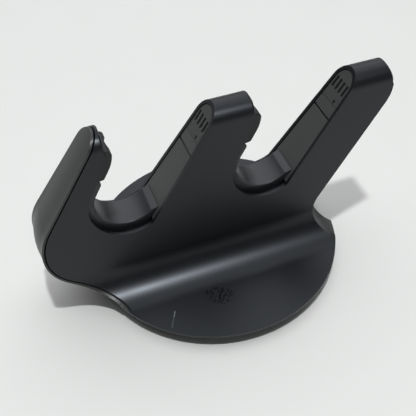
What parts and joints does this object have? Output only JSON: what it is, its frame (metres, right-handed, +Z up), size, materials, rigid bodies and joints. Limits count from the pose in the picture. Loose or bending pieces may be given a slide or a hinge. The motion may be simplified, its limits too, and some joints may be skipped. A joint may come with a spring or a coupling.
{
  "type": "controller charging dock",
  "caption": "Free-standing charging dock: an oval base flares into a slim fin with leaning arms; game controllers sit on curved saddles between the arms and meet spring contacts.",
  "frame": {"origin": "on the table, below the middle of the whole length", "axes": "+Z up; -Y is the front, where the closed leading arm with its smooth cover is; X across the fin, the mirror plane is X = 0"},
  "size_m": [0.1234, 0.177, 0.1024],
  "materials": {
    "shell": "satin near-black moulding",
    "cover": "satin mid-grey moulding",
    "spine": "satin grey moulding",
    "saddle": "polished dark grey",
    "cradle": "black",
    "panel": "satin dark grey",
    "head": "fine spark texture",
    "lens": "smoked",
    "pad": "soft satin",
    "contact": "plated spring strip",
    "circuit": "solder mask",
    "socket": "drawn sheet",
    "wire": "wire sleeve",
    "underside": "black moulding",
    "ballast": "pressed plate",
    "foot": "soft",
    "screw": "dark plated"
  },
  "bodies": {
    "root": {"body_shell": "shell", "front_cover": "cover", "rear_spine": "spine", "saddle_front": "saddle", "saddle_rear": "saddle", "cradle_front": "cradle", "cradle_rear": "cradle", "backrest_front": "panel", "backrest_rear": "panel", "band_front": "panel", "band_rear": "panel", "head_front": "head", "head_rear": "head", "lens_front": "lens", "lens_rear": "lens", "pad_front": "pad", "pad_middle": "pad", "contacts_front": "contact", "contacts_rear": "contact", "board_front": "circuit", "board_rear": "circuit", "main_board": "circuit", "inlet_socket": "socket", "loom_front": "wire", "loom_rear": "wire", "base_cover": "underside", "ballast_plate": "ballast", "feet": "foot", "screws": "screw"}
  },
  "joints": []
}
